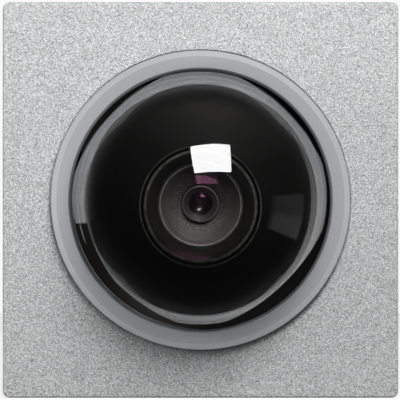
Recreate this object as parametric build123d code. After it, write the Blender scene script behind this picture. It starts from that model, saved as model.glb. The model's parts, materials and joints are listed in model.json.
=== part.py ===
from build123d import *
import os
from math import sin, cos, radians, sqrt, atan2, asin, degrees

os.makedirs("parts", exist_ok=True)

# ---------------------------------------------------------------------------
# A dome camera module for a modular door station.  Millimetres.
# +Z is up, the front faces -Y, +X is to the right as seen from the front.
# The origin is the middle of the front panel's rear seat plane (y = 0).
# ---------------------------------------------------------------------------

# front panel
PANEL = 99.0            # square front
PANEL_T = 3.0
PANEL_R = 1.8           # corner radius
OPENING_R = 35.2        # round opening for the trim ring's spigot

# trim ring (the grey collar)
COLLAR_R = 37.45
COLLAR_BEVEL_R = 36.0
COLLAR_INNER_R = 32.65
COLLAR_WALL_Y = -5.45
COLLAR_BEVEL_Y = -6.0
COLLAR_LIP_Y = -6.3
COLLAR_SEAT = 0.8        # depth of the recess that the collar sits in
COLLAR_GAP = 0.3         # shadow gap around it
SPIGOT_R = 35.0
TOWER_R = 1.5
TOWER_PCR = 35.9
TOWER_ANGLES = (90.0, 210.0, 330.0)

# dome
YC = -5.5               # centre of the dome and of both pivots
DOME_R = 32.3
DOME_WALL = 3.1
DOME_FLANGE_R = 34.2
FLANGE_Y0, FLANGE_Y1 = 2.3, 4.1

# rear housing
HOUSING = 92.0
WALL = 1.8
HOUSING_Y1 = 22.0
BULKHEAD_Y0, BULKHEAD_Y1 = 4.6, 6.6
BULKHEAD_R = 30.5
COVER_T = 2.0
BACK_Y = HOUSING_Y1 + COVER_T
BOARD_Y0, BOARD_Y1 = 17.2, 18.6
BRACKET_Y0, BRACKET_Y1 = 15.0, 16.6
CONN_Y0, CONN_Y1 = 8.6, 10.2
PANEL_SCREWS = [(33, 40), (-33, 40), (33, -40), (-33, -40)]
COVER_BOSSES = [(40.5, 40.5), (-40.5, 40.5), (40.5, -40.5), (-40.5, -40.5)]
BOARD_BOSSES = [(39.5, 24), (-39.5, 24), (39.5, -24), (-39.5, -24)]
CONN_BOSSES = [(20, -38), (-20, -38)]
GIMBAL_BOSSES = [(27, 27), (-27, 27), (27, -27), (-27, -27)]

# latches
LATCH_OUT = 48.4        # nose tip at rest, inside the panel's outline
LATCH_TRAVEL = 2.4
LATCH_YM = 10.8         # axis of the latch spring

# camera ball and gimbal
BALL_R = 28.7
BALL_WALL = 1.5
BALL_LIP_R = 14.25
BALL_BACK = 4.5         # rear rim, behind the centre
REST_TILT = 3.6         # the camera looks down by this much as it is set
PIN_R = 1.2
PIN_CLEAR = 0.05
RING_RI, RING_RO, RING_H = 22.0, 24.6, 4.0
ARM_Z0, ARM_Z1, ARM_W = 18.2, 21.2, 3.5

# filter switch
FILTER_TRAVEL = 7.0
ARM_L = 8.0
ARM_A0 = asin(FILTER_TRAVEL / 2 / ARM_L)
ARM_PIVOT_Z = 12.9

# terminal block
POLES = 6
PITCH = 5.0
PLUG_TRAVEL = 12.0


# ---------------------------------------------------------------------------
# helpers
# ---------------------------------------------------------------------------
def bx(x0, x1, y0, y1, z0, z1):
    return Pos((x0 + x1) / 2, (y0 + y1) / 2, (z0 + z1) / 2) * Box(abs(x1 - x0), abs(y1 - y0), abs(z1 - z0))


def cy(r, y0, y1, x=0.0, z=0.0):
    return Pos(x, (y0 + y1) / 2, z) * Rot(90, 0, 0) * Cylinder(r, abs(y1 - y0))


def cx(r, x0, x1, y=0.0, z=0.0):
    return Pos((x0 + x1) / 2, y, z) * Rot(0, 90, 0) * Cylinder(r, abs(x1 - x0))


def cz(r, z0, z1, x=0.0, y=0.0):
    return Pos(x, y, (z0 + z1) / 2) * Cylinder(r, abs(z1 - z0))


def wire_of(pts):
    """Closed wire of (a, b) points; a point with a third item is the middle of an arc."""
    edges, n, cur, j = [], len(pts), pts[0], 1
    while j <= n:
        q = pts[j % n]
        if len(q) == 3:
            e = pts[(j + 1) % n]
            edges.append(ThreePointArc((cur[0], cur[1], 0), (q[0], q[1], 0), (e[0], e[1], 0)))
            cur = e
            j += 2
        else:
            edges.append(Line((cur[0], cur[1], 0), (q[0], q[1], 0)))
            cur = q
            j += 1
    return Wire(edges)


def turned(pts):
    """Body of revolution about Y from (r, y) points."""
    return revolve(Face(wire_of(pts)), Axis.Y, 360)


def core(pts):
    """Body of revolution about the optical axis from (r, s) points, s ahead of the ball's centre."""
    return turned([(p[0], YC - p[1]) + tuple(p[2:]) for p in pts])


def on_sphere(radius, s):
    return sqrt(radius * radius - s * s)


def mid_arc(radius, s0, s1, centre=0.0):
    """Middle of the arc of a circle about (0, centre) between two heights."""
    a0 = atan2(s0 - centre, sqrt(radius ** 2 - (s0 - centre) ** 2))
    a1 = atan2(s1 - centre, sqrt(radius ** 2 - (s1 - centre) ** 2))
    a = (a0 + a1) / 2
    return (radius * cos(a), centre + radius * sin(a), "m")


def lens(edge_r, s_front, s_back, front, back, clear_f, clear_b):
    """Lens element.  front and back are radii: positive bulges ahead, negative bulges back."""
    def sag(radius, r):
        return radius - sqrt(radius * radius - r * r)
    pts = []
    sf = sag(abs(front), clear_f)
    sb = sag(abs(back), clear_b)
    apex_f = s_front + sf if front > 0 else s_front - sf
    apex_b = s_back + sb if back > 0 else s_back - sb
    hf = sag(abs(front), clear_f / 2)
    hb = sag(abs(back), clear_b / 2)
    pts.append((0, apex_f))
    pts.append((clear_f / 2, apex_f - hf if front > 0 else apex_f + hf, "m"))
    pts.append((clear_f, s_front))
    pts.append((edge_r, s_front))
    pts.append((edge_r, s_back))
    pts.append((clear_b, s_back))
    pts.append((clear_b / 2, apex_b - hb if back > 0 else apex_b + hb, "m"))
    pts.append((0, apex_b))
    return core(pts)


def square_ring(outer, inner, y0, y1, r_out=1.0, r_in=1.0):
    a = extrude(Plane.XZ * RectangleRounded(outer, outer, r_out), -(y1 - y0))
    b = extrude(Plane.XZ * RectangleRounded(inner, inner, r_in), -(y1 - y0))
    return Pos(0, y0, 0) * (a - b)


def slab(w, h, y0, y1, r):
    """Rounded plate w by h, from y0 to y1."""
    return Pos(0, y0, 0) * extrude(Plane.XZ * RectangleRounded(w, h, r), -(y1 - y0))


def screw(shank_r, length, head_r, head_h, recess=True):
    """Pan head screw, head from z = 0 up, shank down."""
    head = Cylinder(head_r, head_h, align=(Align.CENTER, Align.CENTER, Align.MIN))
    head = chamfer(head.edges().sort_by(Axis.Z)[-1], min(0.35 * head_h, 0.4))
    body = head + Pos(0, 0, -length) * Cylinder(shank_r, length, align=(Align.CENTER, Align.CENTER, Align.MIN))
    if recess:
        d = 0.55 * head_h
        w, l = 0.30 * head_r, 1.25 * head_r
        body -= Pos(0, 0, head_h - d / 2 + 0.05) * Box(l, w, d + 0.1)
        body -= Pos(0, 0, head_h - d / 2 + 0.05) * Box(w, l, d + 0.1)
    return body


def screw_y(x, y, z, *a, **k):
    """Screw whose head seats at y and faces +Y."""
    return Pos(x, y, z) * Rot(-90, 0, 0) * screw(*a, **k)


def tilted(obj):
    """Turn a camera-head piece to its rest tilt about the ball's centre."""
    return Pos(0, YC, 0) * Rot(REST_TILT, 0, 0) * Pos(0, -YC, 0) * obj


def group(items):
    return Compound(children=[s for it in items for s in it.solids()])


def save(obj, name):
    solids = obj.solids()
    out = solids[0] if len(solids) == 1 else Compound(children=list(solids))
    out.label = name
    export_step(out, f"parts/{name}.step")


NODES = {}

# ---------------------------------------------------------------------------
# front panel with its locating frame, four screw posts and the gasket groove
# ---------------------------------------------------------------------------
panel = slab(PANEL, PANEL, -PANEL_T, 0, PANEL_R)
front_edges = panel.faces().sort_by(Axis.Y)[0].edges()
panel = fillet(front_edges, 0.45)
panel -= cy(OPENING_R, -PANEL_T - 1, 1)
panel -= cy(COLLAR_R + COLLAR_GAP, -PANEL_T - 1, -PANEL_T + COLLAR_SEAT)
for a in TOWER_ANGLES:
    panel -= cy(TOWER_R + 0.2, -PANEL_T - 1, 1, TOWER_PCR * cos(radians(a)), TOWER_PCR * sin(radians(a)))
panel += square_ring(88.0, 85.6, -0.3, 4.4, 1.5, 1.0)
for x, z in PANEL_SCREWS:
    panel += cy(2.6, -0.3, BULKHEAD_Y0, x, z)
    panel -= cy(1.02, -1.6, 6, x, z)
panel -= square_ring(96.6, 92.6, -0.8, 0.5, 2.0, 2.0)
NODES["front_panel"] = panel

NODES["panel_gasket"] = square_ring(96.5, 92.7, -0.8, 0.0, 1.95, 1.95)

# ---------------------------------------------------------------------------
# trim ring: bevelled collar in front, spigot behind, three screw towers
# ---------------------------------------------------------------------------
ring = turned([
    (COLLAR_INNER_R, FLANGE_Y0),
    (COLLAR_INNER_R, COLLAR_LIP_Y + 1.1),
    (COLLAR_INNER_R + 0.40, COLLAR_LIP_Y),
    (COLLAR_BEVEL_R, COLLAR_BEVEL_Y),
    (COLLAR_R, COLLAR_WALL_Y),
    (COLLAR_R, -PANEL_T + COLLAR_SEAT),
    (SPIGOT_R, -PANEL_T + COLLAR_SEAT),
    (SPIGOT_R, FLANGE_Y0),
])
for a in TOWER_ANGLES:
    tx, tz = TOWER_PCR * cos(radians(a)), TOWER_PCR * sin(radians(a))
    ring += cy(TOWER_R, -PANEL_T, BULKHEAD_Y0, tx, tz)
    ring -= cy(0.82, -3.4, 6, tx, tz)
NODES["trim_ring"] = ring
NODES["trim_ring_screws"] = group([
    screw_y(TOWER_PCR * cos(radians(a)), BULKHEAD_Y1, TOWER_PCR * sin(radians(a)), 0.8, 9.4, 1.8, 1.1)
    for a in TOWER_ANGLES])

# ---------------------------------------------------------------------------
# clear dome with skirt and clamping flange, and its seal
# ---------------------------------------------------------------------------
ri = DOME_R - DOME_WALL
h = sqrt(0.5)
NODES["dome_cover"] = turned([
    (0, YC - DOME_R),
    (DOME_R * h, YC - DOME_R * h, "m"),
    (DOME_R, YC),
    (DOME_R, FLANGE_Y0),
    (DOME_FLANGE_R, FLANGE_Y0),
    (DOME_FLANGE_R, FLANGE_Y1),
    (ri, FLANGE_Y1),
    (ri, YC),
    (ri * h, YC - ri * h, "m"),
    (0, YC - ri),
])
NODES["dome_seal"] = turned([(31.3, FLANGE_Y1), (33.5, FLANGE_Y1), (33.5, 5.3), (31.3, 5.3)])

# ---------------------------------------------------------------------------
# rear housing: square box open at the back, bulkhead, bosses and latch guides
# ---------------------------------------------------------------------------
hs = slab(HOUSING, HOUSING, 0, HOUSING_Y1, 3.0)
hs -= slab(HOUSING - 2 * WALL, HOUSING - 2 * WALL, -1, HOUSING_Y1 + 1, 1.6)
hs += slab(HOUSING - 2 * WALL + 0.4, HOUSING - 2 * WALL + 0.4, BULKHEAD_Y0, BULKHEAD_Y1, 1.6)
# thicker rear rim that carries the cover seal
hs += square_ring(HOUSING - 1.0, 85.2, 20.4, HOUSING_Y1, 2.6, 1.2)
for x, z in COVER_BOSSES:
    hs += cy(3.0, BULKHEAD_Y1 - 0.5, HOUSING_Y1, x, z)
for x, z in BOARD_BOSSES:
    hs += cy(2.3, BULKHEAD_Y1 - 0.5, BOARD_Y0, x, z)
    hs += bx(x * 1.03, (HOUSING / 2 - 1) * (1 if x > 0 else -1), BULKHEAD_Y1 - 0.5, BOARD_Y0 - 1, z - 0.7, z + 0.7)
for x, z in CONN_BOSSES:
    hs += cy(2.3, BULKHEAD_Y1 - 0.5, CONN_Y0, x, z)
for x, z in GIMBAL_BOSSES:
    hs += cy(2.7, BULKHEAD_Y1 - 0.5, BRACKET_Y0, x, z)
for s in (1, -1):
    hs += bx(s * 34.6, s * 44.4, BULKHEAD_Y1 - 0.5, 8.9, -6.4, 6.4)
    hs += bx(s * 34.6, s * 35.7, 8.8, 13.6, -6.4, 6.4)
    for t in (1, -1):
        hs += bx(s * 34.6, s * 44.4, 8.8, 13.6, t * 5.2, t * 6.4)
        hs += bx(s * 36.2, s * 44.4, 12.8, 13.6, t * 4.3, t * 5.3)
    hs -= bx(s * 44.1, s * 46.5, 9.15, 12.75, -4.15, 4.15)
hs -= cy(BULKHEAD_R, 4, 8)
hs -= turned([(31.1, 4.0), (33.7, 4.0), (33.7, 5.3), (31.1, 5.3)])
hs -= square_ring(89.2, 86.8, 21.2, HOUSING_Y1 + 1, 2.2, 2.0)
for x, z in PANEL_SCREWS:
    hs -= cy(1.1, 4, 8, x, z)
for a in TOWER_ANGLES:
    hs -= cy(0.95, 4, 8, TOWER_PCR * cos(radians(a)), TOWER_PCR * sin(radians(a)))
for x, z in COVER_BOSSES:
    hs -= cy(1.02, 12.0, 23, x, z)
for x, z in BOARD_BOSSES:
    hs -= cy(0.82, 10.5, 18, x, z)
for x, z in CONN_BOSSES:
    hs -= cy(0.82, 5.6, 9, x, z)
for x, z in GIMBAL_BOSSES:
    hs -= cy(1.02, 8.5, 16, x, z)
NODES["rear_housing"] = hs

NODES["panel_screws"] = group([screw_y(x, BULKHEAD_Y1, z, 1.0, 7.6, 1.9, 1.2) for x, z in PANEL_SCREWS])

# ---------------------------------------------------------------------------
# rear cover with terminal window, its seal, screws and the pressure vent
# ---------------------------------------------------------------------------
WIN = (-16.0, 16.0, -42.6, -34.0)
rc = slab(HOUSING, HOUSING, HOUSING_Y1, BACK_Y, 3.0)
rc = chamfer(rc.faces().sort_by(Axis.Y)[-1].edges(), 0.5)
rc += square_ring(84.8, 82.4, 20.6, HOUSING_Y1 + 0.2, 1.4, 1.0) - group([cy(3.4, 20, 22, x, z) for x, z in COVER_BOSSES])
rc -= bx(WIN[0], WIN[1], 20, 25, WIN[2], WIN[3])
rc -= bx(-30, 18, BACK_Y - 0.35, BACK_Y + 1, -18, 14)
VENT = (-28.0, 28.0)
rc -= cy(3.02, 20, 26, *VENT)
rc -= cy(4.6, BACK_Y - 0.9, 26, *VENT)
for i in range(9):
    rc -= bx(-4 + i * 4.2 - 0.5, -4 + i * 4.2 + 0.5, BACK_Y - 0.6, BACK_Y + 1, 22, 36)
for x, z in COVER_BOSSES:
    rc -= cy(1.1, 20, 26, x, z)
    rc -= cy(2.15, BACK_Y - 0.9, 26, x, z)
NODES["rear_cover"] = rc
NODES["cover_seal"] = square_ring(89.1, 86.9, 21.2, HOUSING_Y1, 2.15, 2.05)
NODES["cover_screws"] = group([screw_y(x, BACK_Y - 0.9, z, 1.0, 9.0, 2.0, 0.85) for x, z in COVER_BOSSES])
vent = cy(3.0, 20.6, BACK_Y - 0.85, *VENT) + cy(4.4, BACK_Y - 0.9, BACK_Y, *VENT)
vent -= cy(1.9, 20, BACK_Y - 0.9, *VENT)
vent -= group([cy(0.45, 20, 26, VENT[0] + 1.2 * cos(radians(60 * i)), VENT[1] + 1.2 * sin(radians(60 * i))) for i in range(6)])
NODES["vent_plug"] = vent

# ---------------------------------------------------------------------------
# anti-fog heater: ring board behind the bulkhead with twelve resistors
# ---------------------------------------------------------------------------
hr = turned([(31.0, BULKHEAD_Y1), (33.8, BULKHEAD_Y1), (33.8, 7.4), (31.0, 7.4)])
NODES["heater_ring"] = hr
NODES["heater_resistors"] = group([
    Rot(0, 15 + 30 * i, 0) * bx(31.6, 33.2, 7.4, 8.0, -1.6, 1.6) for i in range(12)])

# ---------------------------------------------------------------------------
# main board and what it carries
# ---------------------------------------------------------------------------
pcb = bx(-42, 42, BOARD_Y0, BOARD_Y1, -34, 42)
for s in (1, -1):
    pcb -= bx(s * 36.9, s * 43, 17, 19, 36.9, 43)
    pcb -= bx(s * 39, s * 43, 17, 19, -35, -31)
for x, z in GIMBAL_BOSSES:
    pcb -= cy(2.6, 17, 19, x, z)
for x, z in BOARD_BOSSES:
    pcb -= cy(0.95, 17, 19, x, z)
pcb -= bx(-7.5, 7.5, 17, 19, -11.4, -10.2)
NODES["main_board"] = pcb

chips = [
    bx(-9, 9, BOARD_Y1, 20.2, 2, 20),
    bx(14, 24, BOARD_Y1, 19.9, -6, 8),
    bx(-25, -15, BOARD_Y1, 19.9, -4, 6),
    bx(-34, -28, BOARD_Y1, 20.1, 8, 13),
    bx(28, 34, BOARD_Y1, 20.1, 10, 18),
    bx(-6, 0, BOARD_Y1, 20.0, 28, 33),
    bx(30, 36, 15.7, BOARD_Y0, -20, -14),
    bx(-36, -31, 15.7, BOARD_Y0, 12, 17),
]
for i in range(7):
    chips.append(bx(-30 + 4 * i, -28 + 4 * i, BOARD_Y1, 19.3, -17, -16))
    chips.append(bx(-12 + 3.4 * i, -11 + 3.4 * i, BOARD_Y1, 19.2, 22.5, 24.1))
for i in range(5):
    chips.append(bx(26, 28, BOARD_Y1, 19.3, -4 + 3 * i, -3 + 3 * i))
NODES["board_chips"] = group(chips)

caps = []
for x, z in ((-12, 37.5), (-5, 37.5), (7, 37.5)):
    caps.append(cy(2.9, 8.6, BOARD_Y0 - 0.6, x, z) + bx(x - 3.1, x + 3.1, BOARD_Y0 - 0.7, BOARD_Y0, z - 3.1, z + 3.1))
for x, z in ((-18, -25), (-10, -25)):
    caps.append(cy(2.0, BOARD_Y1 + 0.5, 21.4, x, z) + bx(x - 2.2, x + 2.2, BOARD_Y1, BOARD_Y1 + 0.6, z - 2.2, z + 2.2))
for x, z in ((18, -25), (27.5, -14)):
    b = bx(x - 3.2, x + 3.2, BOARD_Y1, 21.2, z - 3.2, z + 3.2)
    caps.append(chamfer(b.edges().filter_by(Axis.Y), 0.8))
NODES["power_components"] = group(caps)

NODES["board_screws"] = group(
    [screw_y(x, BOARD_Y1, z, 0.8, 6.6, 1.6, 1.0) for x, z in BOARD_BOSSES]
    + [screw_y(x, CONN_Y1, z, 0.8, 4.0, 1.6, 1.0) for x, z in CONN_BOSSES])

rbc = bx(-6.5, 6.5, 15.3, BOARD_Y0, -9.8, -6.2) - bx(-5.2, 5.2, 14.9, 16.6, -8.35, -7.65)
NODES["ribbon_connector"] = rbc
NODES["board_ribbon"] = bx(-5.0, 5.0, YC + 8.8, 16.5, -8.15, -7.85)

# ---------------------------------------------------------------------------
# connection board, header and pull-off terminal plug at the bottom
# ---------------------------------------------------------------------------
cb = bx(-23, 23, CONN_Y0, CONN_Y1, -43.9, -30.4)
for x, z in CONN_BOSSES:
    cb -= cy(0.95, 8, 11, x, z)
NODES["connection_board"] = cb
lh = bx(-10, 10, CONN_Y1, BOARD_Y0, -33.4, -31.0)
for i in range(8):
    lh -= bx(-9.2 + 2.54 * i - 0.35, -9.2 + 2.54 * i + 0.35, 12.4, 15.0, -34, -33.0)
NODES["board_link_header"] = lh

px = [(-12.5 + PITCH * i) for i in range(POLES)]
th = bx(-15.4, 15.4, CONN_Y1, 13.0, -42.2, -34.4)
for x in px:
    th -= bx(x - 0.46, x + 0.46, 10, 13.5, -38.76, -37.84)
NODES["terminal_header"] = th
NODES["terminal_pins"] = group([bx(x - 0.45, x + 0.45, CONN_Y1, 18.0, -38.75, -37.85) for x in px])
# six pole modules that snap together side by side
poles = []
for x in px:
    tp = bx(x - PITCH / 2, x + PITCH / 2, 13.15, BACK_Y - 0.1, -42.2, -34.4)
    tp = chamfer(tp.faces().sort_by(Axis.Y)[-1].edges(), 0.35)
    tp -= bx(x - 0.6, x + 0.6, 13, 18.4, -38.9, -37.7)
    tp -= cy(1.1, 18.9, 25, x, -36.4)
    tp -= cy(1.35, 20.0, 25, x, -40.2)
    poles.append(tp)
NODES["terminal_plug"] = group(poles)
ts = []
for x in px:
    s_ = cy(1.3, 20.05, 23.2, x, -40.2) - bx(x - 1.4, x + 1.4, 22.6, 23.4, -40.4, -40.0)
    ts.append(s_)
NODES["terminal_screws"] = group(ts)

# ---------------------------------------------------------------------------
# gimbal: fixed bracket, pan pins, pan ring, tilt pins and friction washers
# ---------------------------------------------------------------------------
gb = cy(18.0, BRACKET_Y0, BRACKET_Y1)
for x, z in GIMBAL_BOSSES:
    ang = degrees(atan2(z, x))
    leg = Rot(0, -ang, 0) * bx(14.0, sqrt(x * x + z * z), BRACKET_Y0, BRACKET_Y1, -2.6, 2.6)
    gb += leg
    gb += cy(3.2, BRACKET_Y0, BRACKET_Y1, x, z)
gb += bx(-ARM_W, ARM_W, BRACKET_Y0, BRACKET_Y1, -ARM_Z1, ARM_Z1)
gb -= cy(13.2, 14, 18)
for s in (1, -1):
    arm = bx(-ARM_W, ARM_W, YC, BRACKET_Y1, s * ARM_Z0, s * ARM_Z1)
    arm += cz(ARM_W, s * ARM_Z0, s * ARM_Z1, 0, YC)
    gb += arm
    gb += bx(-0.8, 0.8, 13.0, BRACKET_Y0 + 0.2, s * (ARM_Z0 - 2.4), s * (ARM_Z0 + 0.2))
    gb -= cz(PIN_R, s * 17.0, s * 22.5, 0, YC)
for x, z in GIMBAL_BOSSES:
    gb -= cy(1.1, 14, 18, x, z)
NODES["gimbal_base"] = gb
NODES["gimbal_screws"] = group([screw_y(x, BRACKET_Y1, z, 1.0, 7.4, 1.9, 1.2) for x, z in GIMBAL_BOSSES])


def pin(length):
    p = Cylinder(PIN_R, length)
    return chamfer(p.edges().filter_by(GeomType.CIRCLE), 0.2)


NODES["pan_pins"] = group([Pos(0, YC, s * (17.6 + 24.2) / 2) * pin(24.2 - 17.6) for s in (1, -1)])

gr = turned([(RING_RI, YC - RING_H / 2), (RING_RO, YC - RING_H / 2), (RING_RO, YC + RING_H / 2), (RING_RI, YC + RING_H / 2)])
for s in (1, -1):
    gr -= bx(s * 24.4, s * 26, YC - 4, YC + 4, -3.4, 3.4)
    gr -= bx(-3.3, 3.3, YC - 4, YC + 4, s * 21.0, s * 22.1)
    gr -= cx(PIN_R + PIN_CLEAR, s * 21, s * 26, YC, 0)
    gr -= cz(PIN_R + PIN_CLEAR, s * 21, s * 26, 0, YC)
NODES["gimbal_ring"] = gr

NODES["tilt_pins"] = group([tilted(Pos(s * (21.4 + 27.9) / 2, YC, 0) * Rot(0, 90, 0) * pin(27.9 - 21.4)) for s in (1, -1)])
wash = []
for s in (1, -1):
    wash.append(cx(2.8, s * 24.45, s * 24.9, YC, 0) - cx(PIN_R + 0.08, s * 24, s * 25.4, YC, 0))
    wash.append(cz(2.6, s * 21.3, s * 22.05, 0, YC) - cz(PIN_R + 0.08, s * 21, s * 23, 0, YC))
NODES["pivot_washers"] = group(wash)

# ---------------------------------------------------------------------------
# camera ball: spherical shell open in front and behind, with inner ledge
# ---------------------------------------------------------------------------
RI = BALL_R - BALL_WALL
lip_s = on_sphere(BALL_R, BALL_LIP_R + 0.3)
ball = core([
    (BALL_LIP_R, lip_s - 0.3),
    (BALL_LIP_R + 0.09, lip_s - 0.08, "m"),
    (BALL_LIP_R + 0.3, lip_s),
    mid_arc(BALL_R, lip_s, -BALL_BACK),
    (on_sphere(BALL_R, BALL_BACK), -BALL_BACK),
    (on_sphere(RI, BALL_BACK), -BALL_BACK),
    mid_arc(RI, -BALL_BACK, on_sphere(RI, BALL_LIP_R)),
    (BALL_LIP_R, on_sphere(RI, BALL_LIP_R)),
])
ball += core([(13.8, 14.8), (23.3, 14.8), (22.6, 16.2), (13.8, 16.2)])
for s in (1, -1):
    ball += cx(3.2, s * 25.0, s * 27.9, YC, 0)
    ball -= cx(PIN_R, s * 24.0, s * 28.0, YC, 0)
BEZEL_SCREWS = [(16.1 * cos(radians(a)), 16.1 * sin(radians(a))) for a in (90, 210, 330)]
for x, z in BEZEL_SCREWS:
    ball -= cy(0.82, YC - 15.95, YC - 14.0, x, z)
NODES["camera_ball"] = tilted(ball)

# ---------------------------------------------------------------------------
# camera core, from front to back
# ---------------------------------------------------------------------------
COLUMNS = [(10.2, 8.0), (-10.2, 8.0), (10.2, -8.0), (-10.2, -8.0)]
bezel = core([
    (17.8, 13.2), (17.8, 14.8), (13.5, 14.8), (13.55, 24.0),
    (13.47, 24.27, "m"), (13.2, 24.37),
    (12.9, 24.25), (10.5, 20.25), (10.4, 19.9), (10.4, 19.2), (9.92, 19.2), (9.92, 17.1),
    (9.2, 17.1), (9.2, 16.4), (10.9, 15.9), (10.9, 13.2),
])
for x, z in COLUMNS:
    bezel -= cy(0.82, YC - 14.35, YC - 13.0, x, z)
for x, z in BEZEL_SCREWS:
    bezel -= cy(0.95, YC - 15.0, YC - 13.0, x, z)
NODES["camera_bezel"] = tilted(bezel)
NODES["bezel_screws"] = tilted(group([screw_y(x, YC - 13.2, z, 0.8, 2.6, 1.4, 0.9) for x, z in BEZEL_SCREWS]))
NODES["lens_retainer"] = tilted(core([(9.62, 19.2), (10.34, 19.2), (10.34, 19.75), (10.2, 19.9), (9.75, 19.9), (9.62, 19.75)]))
NODES["front_lens"] = tilted(lens(9.88, 19.2, 17.6, 19.4, 14.0, 9.6, 8.4))
NODES["lens_baffle"] = tilted(core([
    (9.86, 17.6), (9.35, 17.6), (4.95, 13.4), (4.95, 12.85), (5.45, 12.85), (9.1, 16.35), (9.1, 17.1), (9.86, 17.1)]))
NODES["lens_barrel"] = tilted(core([
    (4.55, 14.85), (4.42, 15.0), (4.25, 15.0), (3.2, 14.25), (3.2, 13.4), (3.95, 13.4), (3.95, 5.0), (6.0, 5.0), (6.0, 11.2),
    (5.8, 11.4), (4.55, 11.4)]))
NODES["middle_lens"] = tilted(lens(3.9, 13.4, 12.2, 5.8, -4.0, 3.15, 2.6))
NODES["rear_lens"] = tilted(lens(3.9, 9.6, 8.6, 2.7, -3.1, 2.2, 2.3))
NODES["lens_spacer"] = tilted(core([(2.75, 9.6), (3.9, 9.6), (3.9, 12.2), (2.75, 12.2)]))
NODES["lens_lock_ring"] = tilted(core([(2.6, 7.5), (3.9, 7.5), (3.9, 8.6), (2.6, 8.6)]))

holder = bx(-12.4, 12.4, YC - 6.4, YC - 4.6, -10.2, 10.2)
holder = chamfer(holder.edges().filter_by(Axis.Y), 1.5)
holder += cy(7.8, YC - 10.6, YC - 6.3)
for x, z in COLUMNS:
    holder += cy(1.9, YC - 13.2, YC - 4.6, x, z)
    holder -= cy(0.88, YC - 14, YC - 4, x, z)
holder -= cy(6.04, YC - 14, YC - 4)
NODES["lens_holder"] = tilted(holder)
NODES["camera_screws"] = tilted(group([screw_y(x, YC + 0.6, z, 0.8, 14.8, 1.5, 0.9) for x, z in COLUMNS]))

# filter switch: frame, slide with two glasses, moulded rotor arm and coil
FZ0, FZ1 = -10.2, 15.6
ff = bx(-13.0, 13.0, YC - 4.6, YC - 2.2, FZ0, FZ1)
ff = chamfer(ff.edges().filter_by(Axis.Y), 1.0)
for x, z in COLUMNS:
    ff += cy(1.9, YC - 2.3, YC - 0.8, x, z)
ff -= bx(-11.8, 11.8, YC - 5, YC - 2.8, -4.25, 4.25)
ff -= bx(-5.4, 5.4, YC - 5, YC - 2.8, 4.0, 7.6)
ff -= bx(-3.1, 3.1, YC - 5, YC - 2.0, -3.1, 3.1)
ff -= bx(-5.6, 5.6, YC - 5, YC - 3.7, 7.2, 16.5)
ff -= cy(0.7, YC - 5, YC - 2, 0, ARM_PIVOT_Z)
for x, z in COLUMNS:
    ff -= cy(0.88, YC - 5, YC, x, z)
NODES["filter_frame"] = tilted(ff)

SX = -FILTER_TRAVEL / 2
fs = bx(SX - 8.0, SX + 8.0, YC - 3.6, YC - 2.9, -4.0, 4.0)
fs += bx(SX - 1.6, SX + 1.6, YC - 3.6, YC - 2.9, 3.9, 7.2)
fs -= bx(SX - 0.6, SX + 0.6, YC - 4, YC - 2, 4.3, 6.5)
for wx in (-FILTER_TRAVEL, 0.0):
    fs -= bx(wx - 3.05, wx + 3.05, YC - 4, YC - 2, -3.2, 3.2)
NODES["filter_slide"] = tilted(fs)
NODES["ir_cut_glass"] = tilted(bx(-3.0, 3.0, YC - 3.5, YC - 3.0, -3.15, 3.15))
NODES["clear_glass"] = tilted(bx(-FILTER_TRAVEL - 3.0, -FILTER_TRAVEL + 3.0, YC - 3.5, YC - 3.0, -3.15, 3.15))

tipx, tipz = -ARM_L * sin(ARM_A0), ARM_PIVOT_Z - ARM_L * cos(ARM_A0)
fa = Pos(0, 0, ARM_PIVOT_Z) * Rot(0, degrees(ARM_A0), 0) * Pos(0, 0, -ARM_PIVOT_Z) * bx(-0.9, 0.9, YC - 4.4, YC - 3.85, ARM_PIVOT_Z - ARM_L, ARM_PIVOT_Z)
fa += cy(0.9, YC - 4.4, YC - 3.85, tipx, tipz)
fa += cy(1.5, YC - 4.4, YC - 3.85, 0, ARM_PIVOT_Z)
fa += cy(0.5, YC - 4.0, YC - 2.95, tipx, tipz)
fa += cy(0.6, YC - 4.0, YC - 0.4, 0, ARM_PIVOT_Z)
fa += cy(1.5, YC - 1.9, YC - 0.4, 0, ARM_PIVOT_Z)
NODES["filter_arm"] = tilted(fa)
fc = bx(-5.5, 5.5, YC - 2.2, YC - 0.2, 10.7, 15.4) - cy(1.75, YC - 3, YC + 1, 0, ARM_PIVOT_Z)
NODES["filter_coil"] = tilted(fc)

NODES["image_sensor"] = tilted(bx(-4.6, 4.6, YC - 1.6, YC - 0.8, -4.2, 4.2) - bx(-3.6, 3.6, YC - 2, YC - 1.2, -3.2, 3.2))
NODES["sensor_cover_glass"] = tilted(bx(-4.4, 4.4, YC - 2.05, YC - 1.6, -4.0, 4.0))
sb = bx(-12.2, 12.2, YC - 0.8, YC + 0.6, -10.2, 10.2)
for x, z in COLUMNS:
    sb -= cy(0.88, YC - 1, YC + 1, x, z)
NODES["sensor_board"] = tilted(sb)
NODES["sensor_connector"] = tilted(group([
    bx(-6.5, 6.5, YC + 0.6, YC + 2.2, -9.6, -6.4) - bx(-5.2, 5.2, YC + 1.2, YC + 3, -8.35, -7.65),
    bx(-4, 4, YC + 0.6, YC + 1.5, -3, 5),
    bx(5.5, 8.5, YC + 0.6, YC + 1.4, 0, 3)]))
NODES["sensor_ribbon"] = tilted(bx(-5.0, 5.0, YC + 1.3, YC + 6.3, -8.15, -7.85))

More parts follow.
